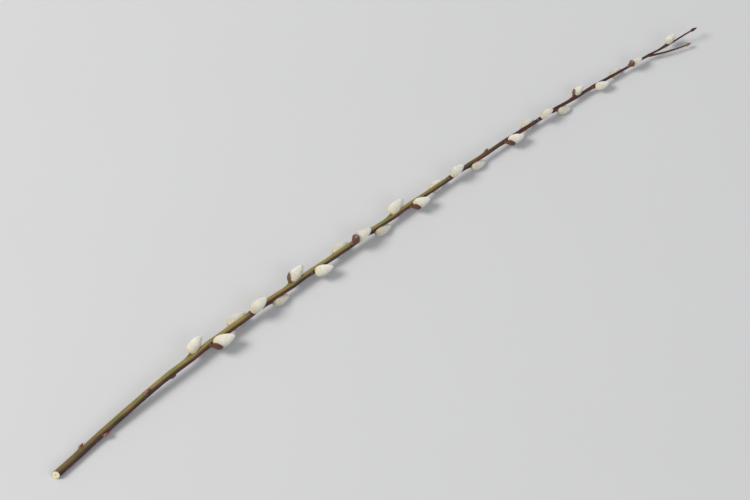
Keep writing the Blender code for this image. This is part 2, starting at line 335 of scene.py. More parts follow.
def scaled(tree, value, low, high, place, fromLow=0.0, fromHigh=1.0):
    # a value carried from one range to another, and held at its ends
    node = addNode(tree, "ShaderNodeMapRange", place)
    ends = {"From Min": fromLow, "From Max": fromHigh, "To Min": low, "To Max": high}
    for key, number in ends.items():
        node.inputs[key].default_value = number
    tree.links.new(value, node.inputs["Value"])
    return node.outputs["Result"]


def times(tree, a, b, place):
    # the product of two values
    node = addNode(tree, "ShaderNodeMath", place, operation="MULTIPLY")
    feed(tree, node.inputs[0], a)
    feed(tree, node.inputs[1], b)
    return node.outputs["Value"]


def valueOf(tree, name, place):
    # a value that the mesh carries at its vertices
    return addNode(tree, "ShaderNodeAttribute", place, attribute_name=name).outputs["Fac"]


def reliefNormal(tree, shader, height, strength, distance, place):
    # a height from 0 to 1, over a distance in millimetres, tilts the shader's normal
    node = addNode(tree, "ShaderNodeBump", place)
    node.inputs["Strength"].default_value = strength
    node.inputs["Distance"].default_value = distance * mm
    tree.links.new(height, node.inputs["Height"])
    tree.links.new(node.outputs["Normal"], shader.inputs["Normal"])


def newMaterial(name, roughness, colour):
    # a material with its Principled shader; the colour is what a plain viewport shows
    material = bpy.data.materials.new(name)
    material.use_nodes = True
    material.diffuse_color = (*colour, 1)
    shader = material.node_tree.nodes["Principled BSDF"]
    shader.inputs["Roughness"].default_value = roughness
    return material, material.node_tree, shader


def setLayer(shader, layer, weight, roughness):
    # the weight and the roughness of a coat or a sheen
    shader.inputs[layer + " Weight"].default_value = weight
    shader.inputs[layer + " Roughness"].default_value = roughness


grainValues = {
    "streakDetail": 7.0,
    "streakRoughness": 0.62,
    "streakRange": (0.35, 0.65),  # the part of the noise that is spread out from 0 to 1
    "mottleDetail": 3.0,
    "mottleRange": (0.35, 0.68),
    "mottleRelief": 0.35,  # how far the mottling stands out beside the streaks
}


def makeGrainGroup():
    # noise on Object coordinates: fine streaks drawn out along the rod, and round soft mottling
    v = grainValues
    group = bpy.data.node_groups.new("fibreGrain", "ShaderNodeTree")
    for name, value in (("Along", 60.0), ("Across", 900.0), ("Mottle size", 90.0)):
        socket = group.interface.new_socket(name, in_out="INPUT", socket_type="NodeSocketFloat")
        socket.default_value = value
    for name in ("Streak", "Mottle", "Relief"):
        group.interface.new_socket(name, in_out="OUTPUT", socket_type="NodeSocketFloat")
    given = addNode(group, "NodeGroupInput", (-5, 0))
    shown = addNode(group, "NodeGroupOutput", (3, 0))
    where = addNode(group, "ShaderNodeTexCoord", (-5, -2)).outputs["Object"]
    stretch = addNode(group, "ShaderNodeCombineXYZ", (-4, 0))
    for axis, name in (("X", "Along"), ("Y", "Across"), ("Z", "Across")):
        group.links.new(given.outputs[name], stretch.inputs[axis])
    drawn = addNode(group, "ShaderNodeVectorMath", (-3, 0), operation="MULTIPLY")
    group.links.new(where, drawn.inputs[0])
    group.links.new(stretch.outputs["Vector"], drawn.inputs[1])
    streaks = addNode(group, "ShaderNodeTexNoise", (-2, 0))
    streaks.inputs["Scale"].default_value = 1.0
    streaks.inputs["Detail"].default_value = v["streakDetail"]
    streaks.inputs["Roughness"].default_value = v["streakRoughness"]
    group.links.new(drawn.outputs["Vector"], streaks.inputs["Vector"])
    mottle = addNode(group, "ShaderNodeTexNoise", (-2, -2))
    mottle.inputs["Detail"].default_value = v["mottleDetail"]
    group.links.new(where, mottle.inputs["Vector"])
    group.links.new(given.outputs["Mottle size"], mottle.inputs["Scale"])
    lines = scaled(group, streaks.outputs["Fac"], 0, 1, (0, 0), *v["streakRange"])
    patches = scaled(group, mottle.outputs["Fac"], 0, 1, (0, -2), *v["mottleRange"])
    relief = addNode(group, "ShaderNodeMath", (1, -1), operation="MULTIPLY_ADD")
    relief.inputs[1].default_value = v["mottleRelief"]
    group.links.new(patches, relief.inputs[0])
    group.links.new(streaks.outputs["Fac"], relief.inputs[2])
    group.links.new(lines, shown.inputs["Streak"])
    group.links.new(patches, shown.inputs["Mottle"])
    group.links.new(relief.outputs["Value"], shown.inputs["Relief"])
    return group


fibreGrain = makeGrainGroup()


def grain(tree, along, across, mottle):
    # the shared grain, with its number of waves per metre along the rod and across it
    node = addNode(tree, "ShaderNodeGroup", (-6, 0), node_tree=fibreGrain)
    for key, value in (("Along", along), ("Across", across), ("Mottle size", mottle)):
        node.inputs[key].default_value = value
    return node.outputs["Streak"], node.outputs["Mottle"], node.outputs["Relief"]


# The rod: bark from the cut end to the bud at the tip, and the cut face

barkFinish = {
    "maroon": (0.043, 0.010, 0.0075),
    "deep": (0.014, 0.005, 0.004),
    "red": (0.125, 0.024, 0.015),
    "olive": (0.185, 0.180, 0.034),
    "gold": (0.265, 0.195, 0.048),
    "bloom": (0.17, 0.11, 0.105),
    "scar": (0.21, 0.13, 0.08),
    "redShare": 0.55,  # how red the mottling gets
    "roughness": (0.32, 0.52),
    "grain": (55.0, 1100.0, 75.0),
    "relief": (0.55, 0.40),  # strength and depth
    "specular": 0.32,
    "coat": (0.10, 0.25),  # weight and roughness
}


def makeBark():
    # maroon with darker streaks and red patches, olive where the value "flush" says so
    v = barkFinish
    material, tree, shader = newMaterial("maroonBark", v["roughness"][0], v["maroon"])
    streak, mottle, relief = grain(tree, *v["grain"])
    isRed = times(tree, mottle, v["redShare"], (-4, 3))
    dark = layered(tree, v["maroon"], [(streak, v["deep"]), (isRed, v["red"])], (-4, 2))
    light = blendColours(tree, mottle, v["olive"], v["gold"], (-4, 0))
    isOlive, isScar = valueOf(tree, "flush", (-6, -3)), valueOf(tree, "scar", (-6, -5))
    isPale = times(tree, valueOf(tree, "bloom", (-6, -4)), streak, (-3, -2))
    coats = [(isOlive, light), (isPale, v["bloom"]), (isScar, v["scar"])]
    tree.links.new(layered(tree, dark, coats, (-2, 1)), shader.inputs["Base Color"])
    tree.links.new(scaled(tree, mottle, *v["roughness"], (-1, -1)), shader.inputs["Roughness"])
    reliefNormal(tree, shader, relief, *v["relief"], (0, -2))
    shader.inputs["Specular IOR Level"].default_value = v["specular"]
    setLayer(shader, "Coat", *v["coat"])
    return material


cutFinish = {
    "wood": (0.80, 0.70, 0.48),
    "ring": (0.60, 0.47, 0.27),
    "pith": (0.42, 0.28, 0.15),
    "green": (0.30, 0.34, 0.12),
    "ringShare": 0.5,
    "pithShare": 0.95,
    "pithEdge": (0.15, 0.23),  # shares of the way from the middle to the bark
    "greenEdge": (0.90, 0.96),
    "roughness": 0.75,
    "grain": (900.0, 900.0, 400.0),
    "relief": (0.5, 0.15),
}


def makeCutWood():
    # pale wood with a brown pith in its middle, and the green layer just inside the bark
    v = cutFinish
    material, tree, shader = newMaterial("freshCutWood", v["roughness"], v["wood"])
    streak, _, relief = grain(tree, *v["grain"])
    across = valueOf(tree, "across", (-6, -3))
    isRing = times(tree, streak, v["ringShare"], (-4, 2))
    isPith = scaled(tree, across, v["pithShare"], 0, (-3, -2), *v["pithEdge"])
    isGreen = scaled(tree, across, 0, 1, (-3, -3), *v["greenEdge"])
    coats = [(isRing, v["ring"]), (isPith, v["pith"]), (isGreen, v["green"])]
    tree.links.new(layered(tree, v["wood"], coats, (-3, 1)), shader.inputs["Base Color"])
    reliefNormal(tree, shader, relief, *v["relief"], (-1, -2))
    return material


bark = makeBark()
cutWood = makeCutWood()

barkValues = {
    "columns": 40,
    "stepBetween": 0.95,  # spacing of rings along a plain stretch
    "stepNear": 0.34,  # and round a node
    "nearNode": 4.0,
    "closest": (3.5, 1.0),  # the rings are closest this far before the tip, and before each node
    "samples": 14401,
    "ridge": (0.035, 55.0),  # share of the radius, and length: shallow lengthwise swellings
    "wrinkle": (0.006, 9.0),
    "scarBack": (2.7, 1.9),  # the leaf scar's distance before a catkin's node and a bud's
    "scarArch": 1.5,
    "scarReach": 0.75,
    "scarWidth": 0.45,
    "scarHorn": 0.05,  # the half-width that is left at its horns
    "scarHeight": 0.16,
    "nodeRing": (0.07, 0.6, 0.8),  # height, distance past the node and half-width
    "capRings": 9,
    "capDips": ((0.12, 0.90, 0.05), (0.25, 0.0, 0.18)),  # depth, place and half-width of each
    "flushSide": math.radians(36),
    "flushSlope": 1.9,  # how sharp its edge is
    "flushEdge": 0.3,  # the cosine of where its edge runs
    "flushWaver": (0.3, 40.0),  # how far its edge wavers, and over what length
    "flushRises": (20.0, 130.0),  # where it starts to rise, and over what length
    "flushFades": (380.0, 540.0),
    "flushRange": (0.45, 0.95),
    "shoulderShade": (0.75, 1.1),  # the share that a shoulder of this height takes away
    "bloom": (0.35, 22.0, 0.1),  # strength, length of a patch, and the level where it starts
    "seeds": (3, 17, 8, 21),  # of the ridges, the wrinkles, the flush and the bloom
    "sharpFrom": 40,  # degrees between two faces
}


def ringPlaces():
    # distances along the rod: the running sum of a density that is higher near each node and end
    v = barkValues
    fine = np.linspace(0, rodValues["length"], v["samples"])
    near = np.zeros(fine.shape)
    beforeTip, beforeNode = v["closest"]
    for stop in [0.0, rodValues["length"] - beforeTip] + [node["along"] - beforeNode for node in nodes]:
        near = np.maximum(near, bump(fine, stop, v["nearNode"]))
    density = 1 / mix(v["stepBetween"], v["stepNear"], near)
    total = np.concatenate([[0], np.cumsum((density[1:] + density[:-1]) / 2 * np.diff(fine))])
    return np.interp(np.linspace(0, total[-1], int(total[-1])), total, fine)


def leafScars(along, side):
    # under each node a crescent: its middle line is a parabola, and it thins out to its horns
    v = barkValues
    scar = np.zeros(np.broadcast(along, side).shape)
    for node in nodes:
        away = np.angle(np.exp(1j * (side - node["side"]))) / v["scarReach"]
        line = node["along"] - v["scarBack"][node["bears"] == "bud"] + v["scarArch"] * away**2
        body = np.maximum(1 - away**2, 0) ** 0.5
        scar = np.maximum(scar, body * bump(along, line, v["scarWidth"] * body + v["scarHorn"]))
    return scar


def barkRadius(along, side):
    # the bare rod and its shoulders, times shallow ridges, plus scars and a faint ring at each node
    v = barkValues
    ridge, ridgeRun = v["ridge"]
    wrinkle, wrinkleRun = v["wrinkle"]
    height, past, halfWidth = v["nodeRing"]
    radius = rodRadius(along) + shoulder(along, side)
    radius = radius * (1 + ridge * waves(along / ridgeRun, side, v["seeds"][0]))
    radius = radius * (1 + wrinkle * waves(along / wrinkleRun, side * 3, v["seeds"][1]))
    radius = radius + v["scarHeight"] * leafScars(along, side)
    for node in nodes:
        radius = radius + height * bump(along, node["along"] + past, halfWidth)
    return radius


def oliveFlush(along, side):
    # a soft step over the cosine of the way round, with a wavering edge; less on the shoulders,
    # growing from the cut end on and gone towards the tip
    v = barkValues
    waver, waverRun = v["flushWaver"]
    shade, shadeHeight = v["shoulderShade"]
    start, run = v["flushRises"]
    fadesFrom, fadesTo = v["flushFades"]
    edge = v["flushSlope"] * (np.cos(side - v["flushSide"]) - v["flushEdge"])
    flush = smooth(0.5 + edge + waver * waves(along / waverRun, side, v["seeds"][2]))
    flush = flush * (1 - shade * smooth(shoulder(along, side) / shadeHeight))
    flush = flush * (1 - smooth((along - fadesFrom) / (fadesTo - fadesFrom)))
    return flush * mix(*v["flushRange"], smooth((along - start) / run))


def paleBloom(along, side):
    # soft patches of waves, cut off below a level
    strength, run, level = barkValues["bloom"]
    return strength * smooth(waves(along / run, side, barkValues["seeds"][3]) - level)


def cutFace(ring, tangent):
    # the first ring drawn in to its middle, dished at the pith and just inside the bark
    v = barkValues
    shares = np.linspace(0, 1, v["capRings"] + 1)[1:-1]
    middle = ring.mean(0)
    sunk = sum(depth * bump(shares, place, halfWidth) for depth, place, halfWidth in v["capDips"])
    return shares, middle + (ring - middle) * shares[:, None, None] + tangent * sunk[:, None, None]


def makeRodBark():
    # rings of the bark's radius carried along the rod's line, slanted where it was cut
    v = barkValues
    places, side = ringPlaces(), angles(v["columns"])[None, :]
    along = places[:, None]
    radius, scar = barkRadius(along, side), leafScars(along, side)
    tangent, level, up = rodFrame(places)
    ray = level[:, None] * np.cos(side)[..., None] + up[:, None] * np.sin(side)[..., None]
    points = centre(places)[:, None] + ray * radius[..., None]
    slant = rodValues["cutSlope"] * radius * (1 + np.cos(side - rodValues["cutSide"]))
    slant = slant * np.clip(1 - along / rodValues["cutReach"], 0, 1)
    points = points + tangent[:, None] * slant[..., None]
    points[..., 2] = np.maximum(points[..., 2], 0)  # the underside of the cut end is flat on the floor
    shares, cap = cutFace(points[0], tangent[0])
    vertices, quads, triangles = closedGrids(np.concatenate([cap, points[:-1]])[None])
    vertices[-1] = centre(rodValues["length"])
    capRows = len(shares)

    def withCap(values, capValues):
        # the cap's value on each of its rings, then the bark's own
        capGrid = np.broadcast_to(np.asarray(capValues, float).reshape(-1, 1), (capRows, v["columns"]))
        return gridValues(np.concatenate([capGrid, values[:-1]])[None], 0, values[-1].mean())

    values = {
        "flush": withCap(oliveFlush(along, side), 0),
        "bloom": withCap(paleBloom(along, side) * (1 - scar), 0),
        "scar": withCap(scar, 0),
        "across": withCap(np.ones(radius.shape), shares),
    }
    isCap = np.zeros(len(quads) + len(triangles), int)
    isCap[: capRows * v["columns"]] = 1
    isCap[len(quads): len(quads) + v["columns"]] = 1
    shape = (vertices, quads, triangles)
    makePiece("rodBark", shape, [bark, cutWood], values, "branch_rod", isCap, v["sharpFrom"])


makeRodBark()


# Lenticels: small pale corky lenses scattered over the bark

lenticelValues = {
    "count": 560,
    "first": 12.0,
    "run": 640.0,
    "length": 0.95,
    "width": 0.50,
    "height": 0.12,
    "sunk": 0.05,
    "sizes": (0.6, 1.25),
    "tipSize": 0.6,
    "spread": (1.1, 1.6),  # of a beta draw, with more of them towards the cut end
    "rings": 3,
    "sides": 6,
    "seed": 31,
    "flush": 0.4,  # how far they take the olive colour, and that of a scar
    "scar": 0.75,
}


def makeLenticels():
    # each is a low dome over an oval on the bark, and its height falls as a cosine of the way out
    v = lenticelValues
    draw = np.random.default_rng(v["seed"])
    share = draw.beta(*v["spread"], v["count"])[:, None, None]
    side = draw.uniform(0, turn, v["count"])[:, None, None]
    size = draw.uniform(*v["sizes"], v["count"])[:, None, None] * mix(1.0, v["tipSize"], share)
    reach = np.linspace(1, 0, v["rings"] + 1)[:-1, None]
    along = v["first"] + share * v["run"] + v["length"] / 2 * reach * np.cos(angles(v["sides"])) * size
    side = side - v["width"] / 2 * reach * np.sin(angles(v["sides"])) * size / rodRadius(along)
    height = (v["height"] * np.cos(reach * np.pi / 2) - v["sunk"]) * size
    points = centre(along) + outward(along, side) * (barkRadius(along, side) + height)[..., None]
    points[..., 2] = np.maximum(points[..., 2], 0)
    shape = closedGrids(points)
    every = np.ones(len(shape[0]))
    values = {"flush": v["flush"] * every, "bloom": 0 * every, "scar": v["scar"] * every}
    makePiece("lenticels", shape, [bark], values, "branch_rod")


makeLenticels()


# The closed buds

skinBands = {  # shares of the length, or of the way to an edge, over which a colour comes in
    "body": (0.0, 0.45),
    "tip": (0.55, 1.0),
    "edge": (0.72, 1.0),
    "edgeShare": 0.8,
}

budFinish = {
    "foot": (0.20, 0.15, 0.035),
    "body": (0.26, 0.050, 0.028),
    "tip": (0.085, 0.022, 0.016),
    "edge": (0.26, 0.050, 0.028),
    "veins": 0.35,
    "roughness": 0.26,
    "coat": (0.35, 0.18),
    "grain": (90.0, 1500.0, 220.0),
    "relief": (0.25, 0.12),
}

scaleFinish = {
    "foot": (0.14, 0.070, 0.022),
    "body": (0.115, 0.034, 0.016),
    "tip": (0.035, 0.014, 0.009),
    "edge": (0.30, 0.165, 0.070),
    "veins": 0.6,
    "roughness": 0.45,
    "coat": (0.10, 0.18),
    "grain": (160.0, 1300.0, 260.0),
    "relief": (0.75, 0.20),
}


def makeBudSkin(name, v):
    # one colour at the foot and one above, dark at the tip and in the veins, with a thin edge
    bands = skinBands
    material, tree, shader = newMaterial(name, v["roughness"], v["body"])
    streak, _, relief = grain(tree, *v["grain"])
    toTip = valueOf(tree, "toTip", (-6, -3))
    toEdge = valueOf(tree, "edge", (-6, -5))
    isBody = scaled(tree, toTip, 0, 1, (-5, -2), *bands["body"])
    isTip = scaled(tree, toTip, 0, 1, (-5, -4), *bands["tip"])
    isVein = times(tree, streak, v["veins"], (-3, 3))
    isEdge = scaled(tree, toEdge, 0, bands["edgeShare"], (-5, -5), *bands["edge"])
    coats = [(isBody, v["body"]), (isTip, v["tip"]), (isVein, v["tip"]), (isEdge, v["edge"])]
    tree.links.new(layered(tree, v["foot"], coats, (-3, 1)), shader.inputs["Base Color"])
    reliefNormal(tree, shader, relief, *v["relief"], (-1, -2))
    setLayer(shader, "Coat", *v["coat"])
    return material


budSkin = makeBudSkin("glossyBudSkin", budFinish)
scaleSkin = makeBudSkin("brownBudScale", scaleFinish)

budValues = {
    "length": 7.0,
    "slimness": 0.42,
    "tipSize": 0.7,
    "lean": math.radians(9),
    "back": 1.5,
    "footGap": 0.3,
    "clearance": 0.4,
    "ends": (0.03, 0.985),
    "keel": (0.05, 0.35),  # share of the radius and half-width, on the side towards the rod
    "groove": (0.06, 0.12),  # the same, on the side away from it
    "seamFrom": (0.2, 0.3),  # where the two start, and over what share they get full
    "rows": 22,
    "columns": 20,
}


def makeClosedBuds():
    # a teardrop over (share, angle) from each bud's foot, with a keel and a groove along it
    v = budValues
    share = np.linspace(*v["ends"], v["rows"])[:, None]
    angle = angles(v["columns"])[None, :]
    (keel, keelWidth), (groove, grooveWidth) = v["keel"], v["groove"]
    seam = keel * bump(angle, np.pi, keelWidth) - groove * bump(np.abs(angle - np.pi), np.pi, grooveWidth)
    crease = 1 + seam * smooth((share - v["seamFrom"][0]) / v["seamFrom"][1])
    grids = []
    for node in nodes:
        if node["bears"] != "bud":
            continue
        along = node["along"] - v["back"]
        tangent, away = rodFrame(along)[0], outward(along, node["side"])
        length = v["length"] * mix(1.0, v["tipSize"], along / rodValues["length"])
        foot = centre(along) + away * (rodRadius(along) + v["footGap"])
        direction = tangent * math.cos(v["lean"]) + away * math.sin(v["lean"])
        across = np.cross(tangent, away)
        out = np.cross(across, direction)
        radius = length * v["slimness"] / 2 * teardrop(share) * crease
        ray = out * np.cos(angle)[..., None] + across * np.sin(angle)[..., None]
        points = foot + direction * length * share[..., None] + ray * radius[..., None]
        points[..., 2] = np.maximum(points[..., 2], v["clearance"])
        grids.append(points)
    toTip = np.broadcast_to(share, (len(grids), v["rows"], v["columns"]))
    values = {"toTip": gridValues(toTip, 0, 1)}
    makePiece("closedBuds", closedGrids(np.stack(grids)), [budSkin], values, "branch_rod")


makeClosedBuds()


# The side shoot and the bud at its end

shootValues = {
    "length": 44.0,
    "angle": math.radians(21),
    "curve": 0.14,
    "baseRadius": 1.05,
    "tipRadius": 0.55,
    "inside": 0.06,  # the share of it that lies in the rod
    "insideSize": 0.5,
    "end": 0.998,
    "back": 2.6,  # how far its start is drawn back into the shoulder, so that it grows out of it
    "collar": (0.18, 0.10, 0.03),  # height, place and half-width
    "ring": (0.07, 0.42, 0.012),
    "flush": 0.06,
    "flushFrom": 0.4,  # none at its root, and all of it from this share on
    "rows": 150,
    "columns": 18,
}


def makeSideShoot():
    # circles carried along a parabola that leaves the rod at an angle and bends back to it
    v = shootValues
    node = [n for n in nodes if n["bears"] == "shoot"][0]
    tangent, away = rodFrame(node["along"])[0], outward(node["along"], node["side"])
    across = np.cross(tangent, away)
    share = np.linspace(0, v["end"], v["rows"])[:, None]
    ahead, aside = math.cos(v["angle"]), math.sin(v["angle"])
    forward = tangent * ahead + away * (aside - 2 * v["curve"] * share)
    line = tangent * ahead * share + away * (aside * share - v["curve"] * share**2)
    line = centre(node["along"]) + line * v["length"] - tangent * v["back"] * (1 - share) ** 2
    radius = endBudRadius(v["length"] * (1 - share), mix(v["baseRadius"], v["tipRadius"], share))
    radius = radius * mix(v["insideSize"], 1.0, smooth(share / v["inside"]))
    for height, place, halfWidth in (v["collar"], v["ring"]):
        radius = radius + height * bump(share, place, halfWidth)
    angle = angles(v["columns"])[None, :, None]
    out = np.cross(across, unit(forward))[:, None]
    points = line[:, None] + (out * np.cos(angle) + across * np.sin(angle)) * radius[:, None]
    shape = closedGrids(points[None])

    # the end bud has its own skin, from just before its foot on
    intoBud = share - 1 + rodValues["endBudLength"] / v["length"]
    toTip = np.clip(intoBud * v["length"] / rodValues["endBudLength"], 0, 1)
    flush = v["flush"] * smooth(share / v["flushFrom"])
    isBud = np.repeat(intoBud[:-1, 0] > -0.002, v["columns"]).astype(int)
    isBud = np.concatenate([isBud, np.zeros(v["columns"], int), np.ones(v["columns"], int)])
    grid = (1, v["rows"], v["columns"])
    nothing = np.zeros(len(shape[0]))
    values = {
        "toTip": gridValues(np.broadcast_to(toTip, grid), 0, 1),
        "flush": gridValues(np.broadcast_to(flush, grid), 0, v["flush"]),
        "bloom": nothing,
        "scar": nothing,
    }
    makePiece("sideShoot", shape, [bark, budSkin], values, "branch_rod", isBud)


makeSideShoot()


# How each catkin stands, taken from its solid

catkinValues = {
    "slimness": 0.53,
    "outline": (0.65, 0.60),  # the teardrop's powers, a little fuller near the tip than the solid's
    "start": 0.05,
    "curl": 0.07,
    "seatStep": 1.0,
    "seatHeight": 0.6,
    "rodGap": 0.10,
    "floorGap": 0.04,
}


def standOf(node, nodeName):
    # the foot from the rod's line; the lean from where the solid's tip lies, with its curl undone
    v = catkinValues
    along = node["along"] + v["seatStep"]
    tangent, away = rodFrame(along)[0], outward(along, node["side"])
    foot = centre(along) + away * (rodRadius(along) + v["seatHeight"] * node["shoulder"])
    corners = np.array([corner.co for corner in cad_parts[nodeName].data.vertices]) / mm
    reach = corners - rodValues["origin"] - foot
    tip = reach[np.argmax(np.linalg.norm(reach, axis=1))]
    lean = math.atan2(tip @ away, tip @ tangent) + math.atan2(v["curl"], 1 - v["start"])
    direction = tangent * math.cos(lean) + away * math.sin(lean)
    across = unit(np.cross(tangent, away))
    return {
        "foot": foot,
        "direction": direction,
        "out": np.cross(across, direction),
        "across": across,
        "length": node["length"],
        "radius": node["length"] * v["slimness"] / 2,
        "side": node["side"],
    }


def onCatkin(stand, share, angle, reach, extra=0.0):
    # a point at a share of the bent axis and an angle round it; reach 1 is the solid's own skin
    v = catkinValues
    share, angle, reach, extra = (np.asarray(x)[..., None] for x in (share, angle, reach, extra))
    axis = stand["foot"] + stand["direction"] * stand["length"] * (share - v["start"])
    axis = axis - stand["out"] * v["curl"] * stand["length"] * share**2
    radius = stand["radius"] * teardrop(share, *v["outline"]) * reach + extra
    return axis + (stand["out"] * np.cos(angle) + stand["across"] * np.sin(angle)) * radius


def clearOfRod(points, stand):
    # a point in the rod moves straight out to its skin, and none goes below the floor
    v = catkinValues
    middle = centre(points[..., 0])
    away = outward(points[..., 0], stand["side"])
    reach = ((points - middle) * away).sum(-1)
    beside = np.linalg.norm(points - middle - away * reach[..., None], axis=-1)
    radius = rodRadius(np.minimum(points[..., 0], rodValues["length"])) + v["rodGap"]
    needed = np.sqrt(np.maximum(radius**2 - beside**2, 0))
    move = np.where(beside < radius, np.maximum(needed - reach, 0), 0)
    points = points + away * move[..., None]
    points[..., 2] = np.maximum(points[..., 2], v["floorGap"])
    return points


# The catkins: a core with rows of bracts, and silky hair that lies towards the tip

silkFinish = {
    # foot and low: the catkin's own beige near its base, and partly painted shade at its foot
    "foot": (0.42, 0.35, 0.17),
    "low": (0.76, 0.70, 0.53),
    "silver": (0.95, 0.935, 0.87),
    "tip": (0.97, 0.96, 0.93),
    # under: the painted shade of the skin beneath the hair and of the hairs' roots
    "under": (0.79, 0.74, 0.62),
    "bract": (0.56, 0.48, 0.36),
    "footEnds": (0.03, 0.20),  # shares of the length over which one colour gives way to the next
    "lowEnds": (0.12, 0.52),
    "tipEnds": (0.55, 1.0),
    "tipShare": 0.8,
    "toneShare": 0.25,  # how far the darkest hairs take the colour "low"
    "rootShade": (0.35, 0.6),  # painted shade at a hair's root, where it lies under other hairs: how dark, and up to what share of it
    # skinShade: how much painted shade lies on the skin under the hair, in soft patches
    "skinShade": (0.25, 0.45),
    "roughness": 0.62,
    "sheen": (0.45, 0.4),  # weight and roughness
    "grain": (260.0, 3200.0, 320.0),
    "relief": (0.6, 0.12),
}


def makeSilk(name, isHair):
    # beige at the foot and silver above, the foot partly painted shade; painted shade darkens the skin
    # under the hair and each hair's root, and the skin has brown bract tips
    v = silkFinish
    material, tree, shader = newMaterial(name, v["roughness"], v["silver"])
    toTip = valueOf(tree, "toTip", (-6, -3))
    isLow = scaled(tree, toTip, 0, 1, (-5, 1), *v["footEnds"])
    isSilver = scaled(tree, toTip, 0, 1, (-5, 0), *v["lowEnds"])
    isTip = scaled(tree, toTip, 0, v["tipShare"], (-5, -1), *v["tipEnds"])
    coats = [(isLow, v["low"]), (isSilver, v["silver"]), (isTip, v["tip"])]
    streak, mottle, _ = grain(tree, *v["grain"])
    if isHair:
        rootDark, rootEnd = v["rootShade"]
        tone = scaled(tree, valueOf(tree, "tone", (-6, -4)), 0.0, v["toneShare"], (-5, -4))
        atRoot = scaled(tree, valueOf(tree, "outTo", (-6, -5)), rootDark, 0.0, (-5, -5), 0.0, rootEnd)
        coats = coats + [(tone, v["low"]), (atRoot, v["under"])]
    else:
        shade = scaled(tree, mottle, *v["skinShade"], (-5, -6))
        coats = coats + [(shade, v["under"]), (valueOf(tree, "bract", (-6, -5)), v["bract"])]
        reliefNormal(tree, shader, streak, *v["relief"], (0, -2))
    tree.links.new(layered(tree, v["foot"], coats, (-4, 1)), shader.inputs["Base Color"])
    setLayer(shader, "Sheen", *v["sheen"])
    return material


silkSkin = makeSilk("silkUnderHair", False)
silkHair = makeSilk("silverHair", True)

coreValues = {
    "reach": 0.93,
    "ends": (0.03, 0.985),
    "footRound": 0.05,  # the share over which the foot is rounded
    "rows": 30,
    "columns": 28,
    "bracts": (7, 30.0),  # spirals round the catkin, and how fast they climb
    "bractWobble": 0.5,
    "bractRelief": 0.03,
    "bractTips": (0.55, 0.35),  # a bump's height where its brown tip starts, and what more it takes
    "bractFoot": (0.12, 0.1),  # the share of the length where the tips start, and what more it takes
    "bractShown": 0.55,  # when this is less, more of them stay hidden in the hair
}

hairValues = {
    "count": 3300,
    "roots": (0.03, 0.97),
    "rootReach": 0.89,
    "length": 0.26,  # of the catkin's length
    "lengths": (0.65, 1.2),
    "tipLength": 0.8,
    "lift": 0.09,  # how far the middle of a hair stands out, in reach
    "lifts": (0.6, 1.15),
    "endLift": 1.25,  # of that, at a hair's end
    "loft": (0.06, 0.25),  # millimetres that a root and an end stand out besides
    "tipLoft": (0.15, 0.75, 0.2),  # how much more an end has near the tip, from where on, and over what
    "radius": 0.031,  # on a catkin of the next length
    "radiusLength": 17,
    "rings": (1.0, 0.75),  # of that radius at the root and half way
    "stray": 0.08,  # share of the hairs that stand out further
    "strayLift": 2.6,
    "swirl": (0.04, 0.10),
    "turn": math.pi * (3 - math.sqrt(5)),
    "turnJitter": 0.05,
    "poleArea": 0.15,  # keeps some hairs at the two ends
    "seed": 101,
}


def makeCore(stand, seed):
    # the teardrop at a smaller reach, with staggered bumps: a product of two waves over (share, angle)
    v = coreValues
    share = mix(*v["ends"], (1 - np.cos(np.linspace(0, np.pi, v["rows"]))) / 2)[:, None]
    angle = angles(v["columns"])[None, :]
    spirals, climb = v["bracts"]
    wobble = v["bractWobble"] * waves(share * 9, angle, 40 + seed)
    climbing = climb * share
    lattice = np.cos(spirals * angle + climbing + wobble) * np.cos(spirals * angle - climbing - wobble)
    rounding = np.sqrt(np.clip((share - v["ends"][0] + 0.002) / v["footRound"], 0, 1))
    reach = v["reach"] * (1 + v["bractRelief"] * lattice) * rounding
    share = share + 0 * angle
    points = clearOfRod(onCatkin(stand, share, angle + 0 * share, reach), stand)
    (tipsFrom, tipsRun), (footFrom, footRun) = v["bractTips"], v["bractFoot"]
    spots = smooth((lattice - tipsFrom) / tipsRun) * smooth((share - footFrom) / footRun)
    spots = spots * smooth(v["bractShown"] + waves(share * 14, angle, 70 + seed))
    values = {"toTip": gridValues(share[None], 0, 1), "bract": gridValues(spots[None], 0, 0)}
    return closedGrids(points[None]), values


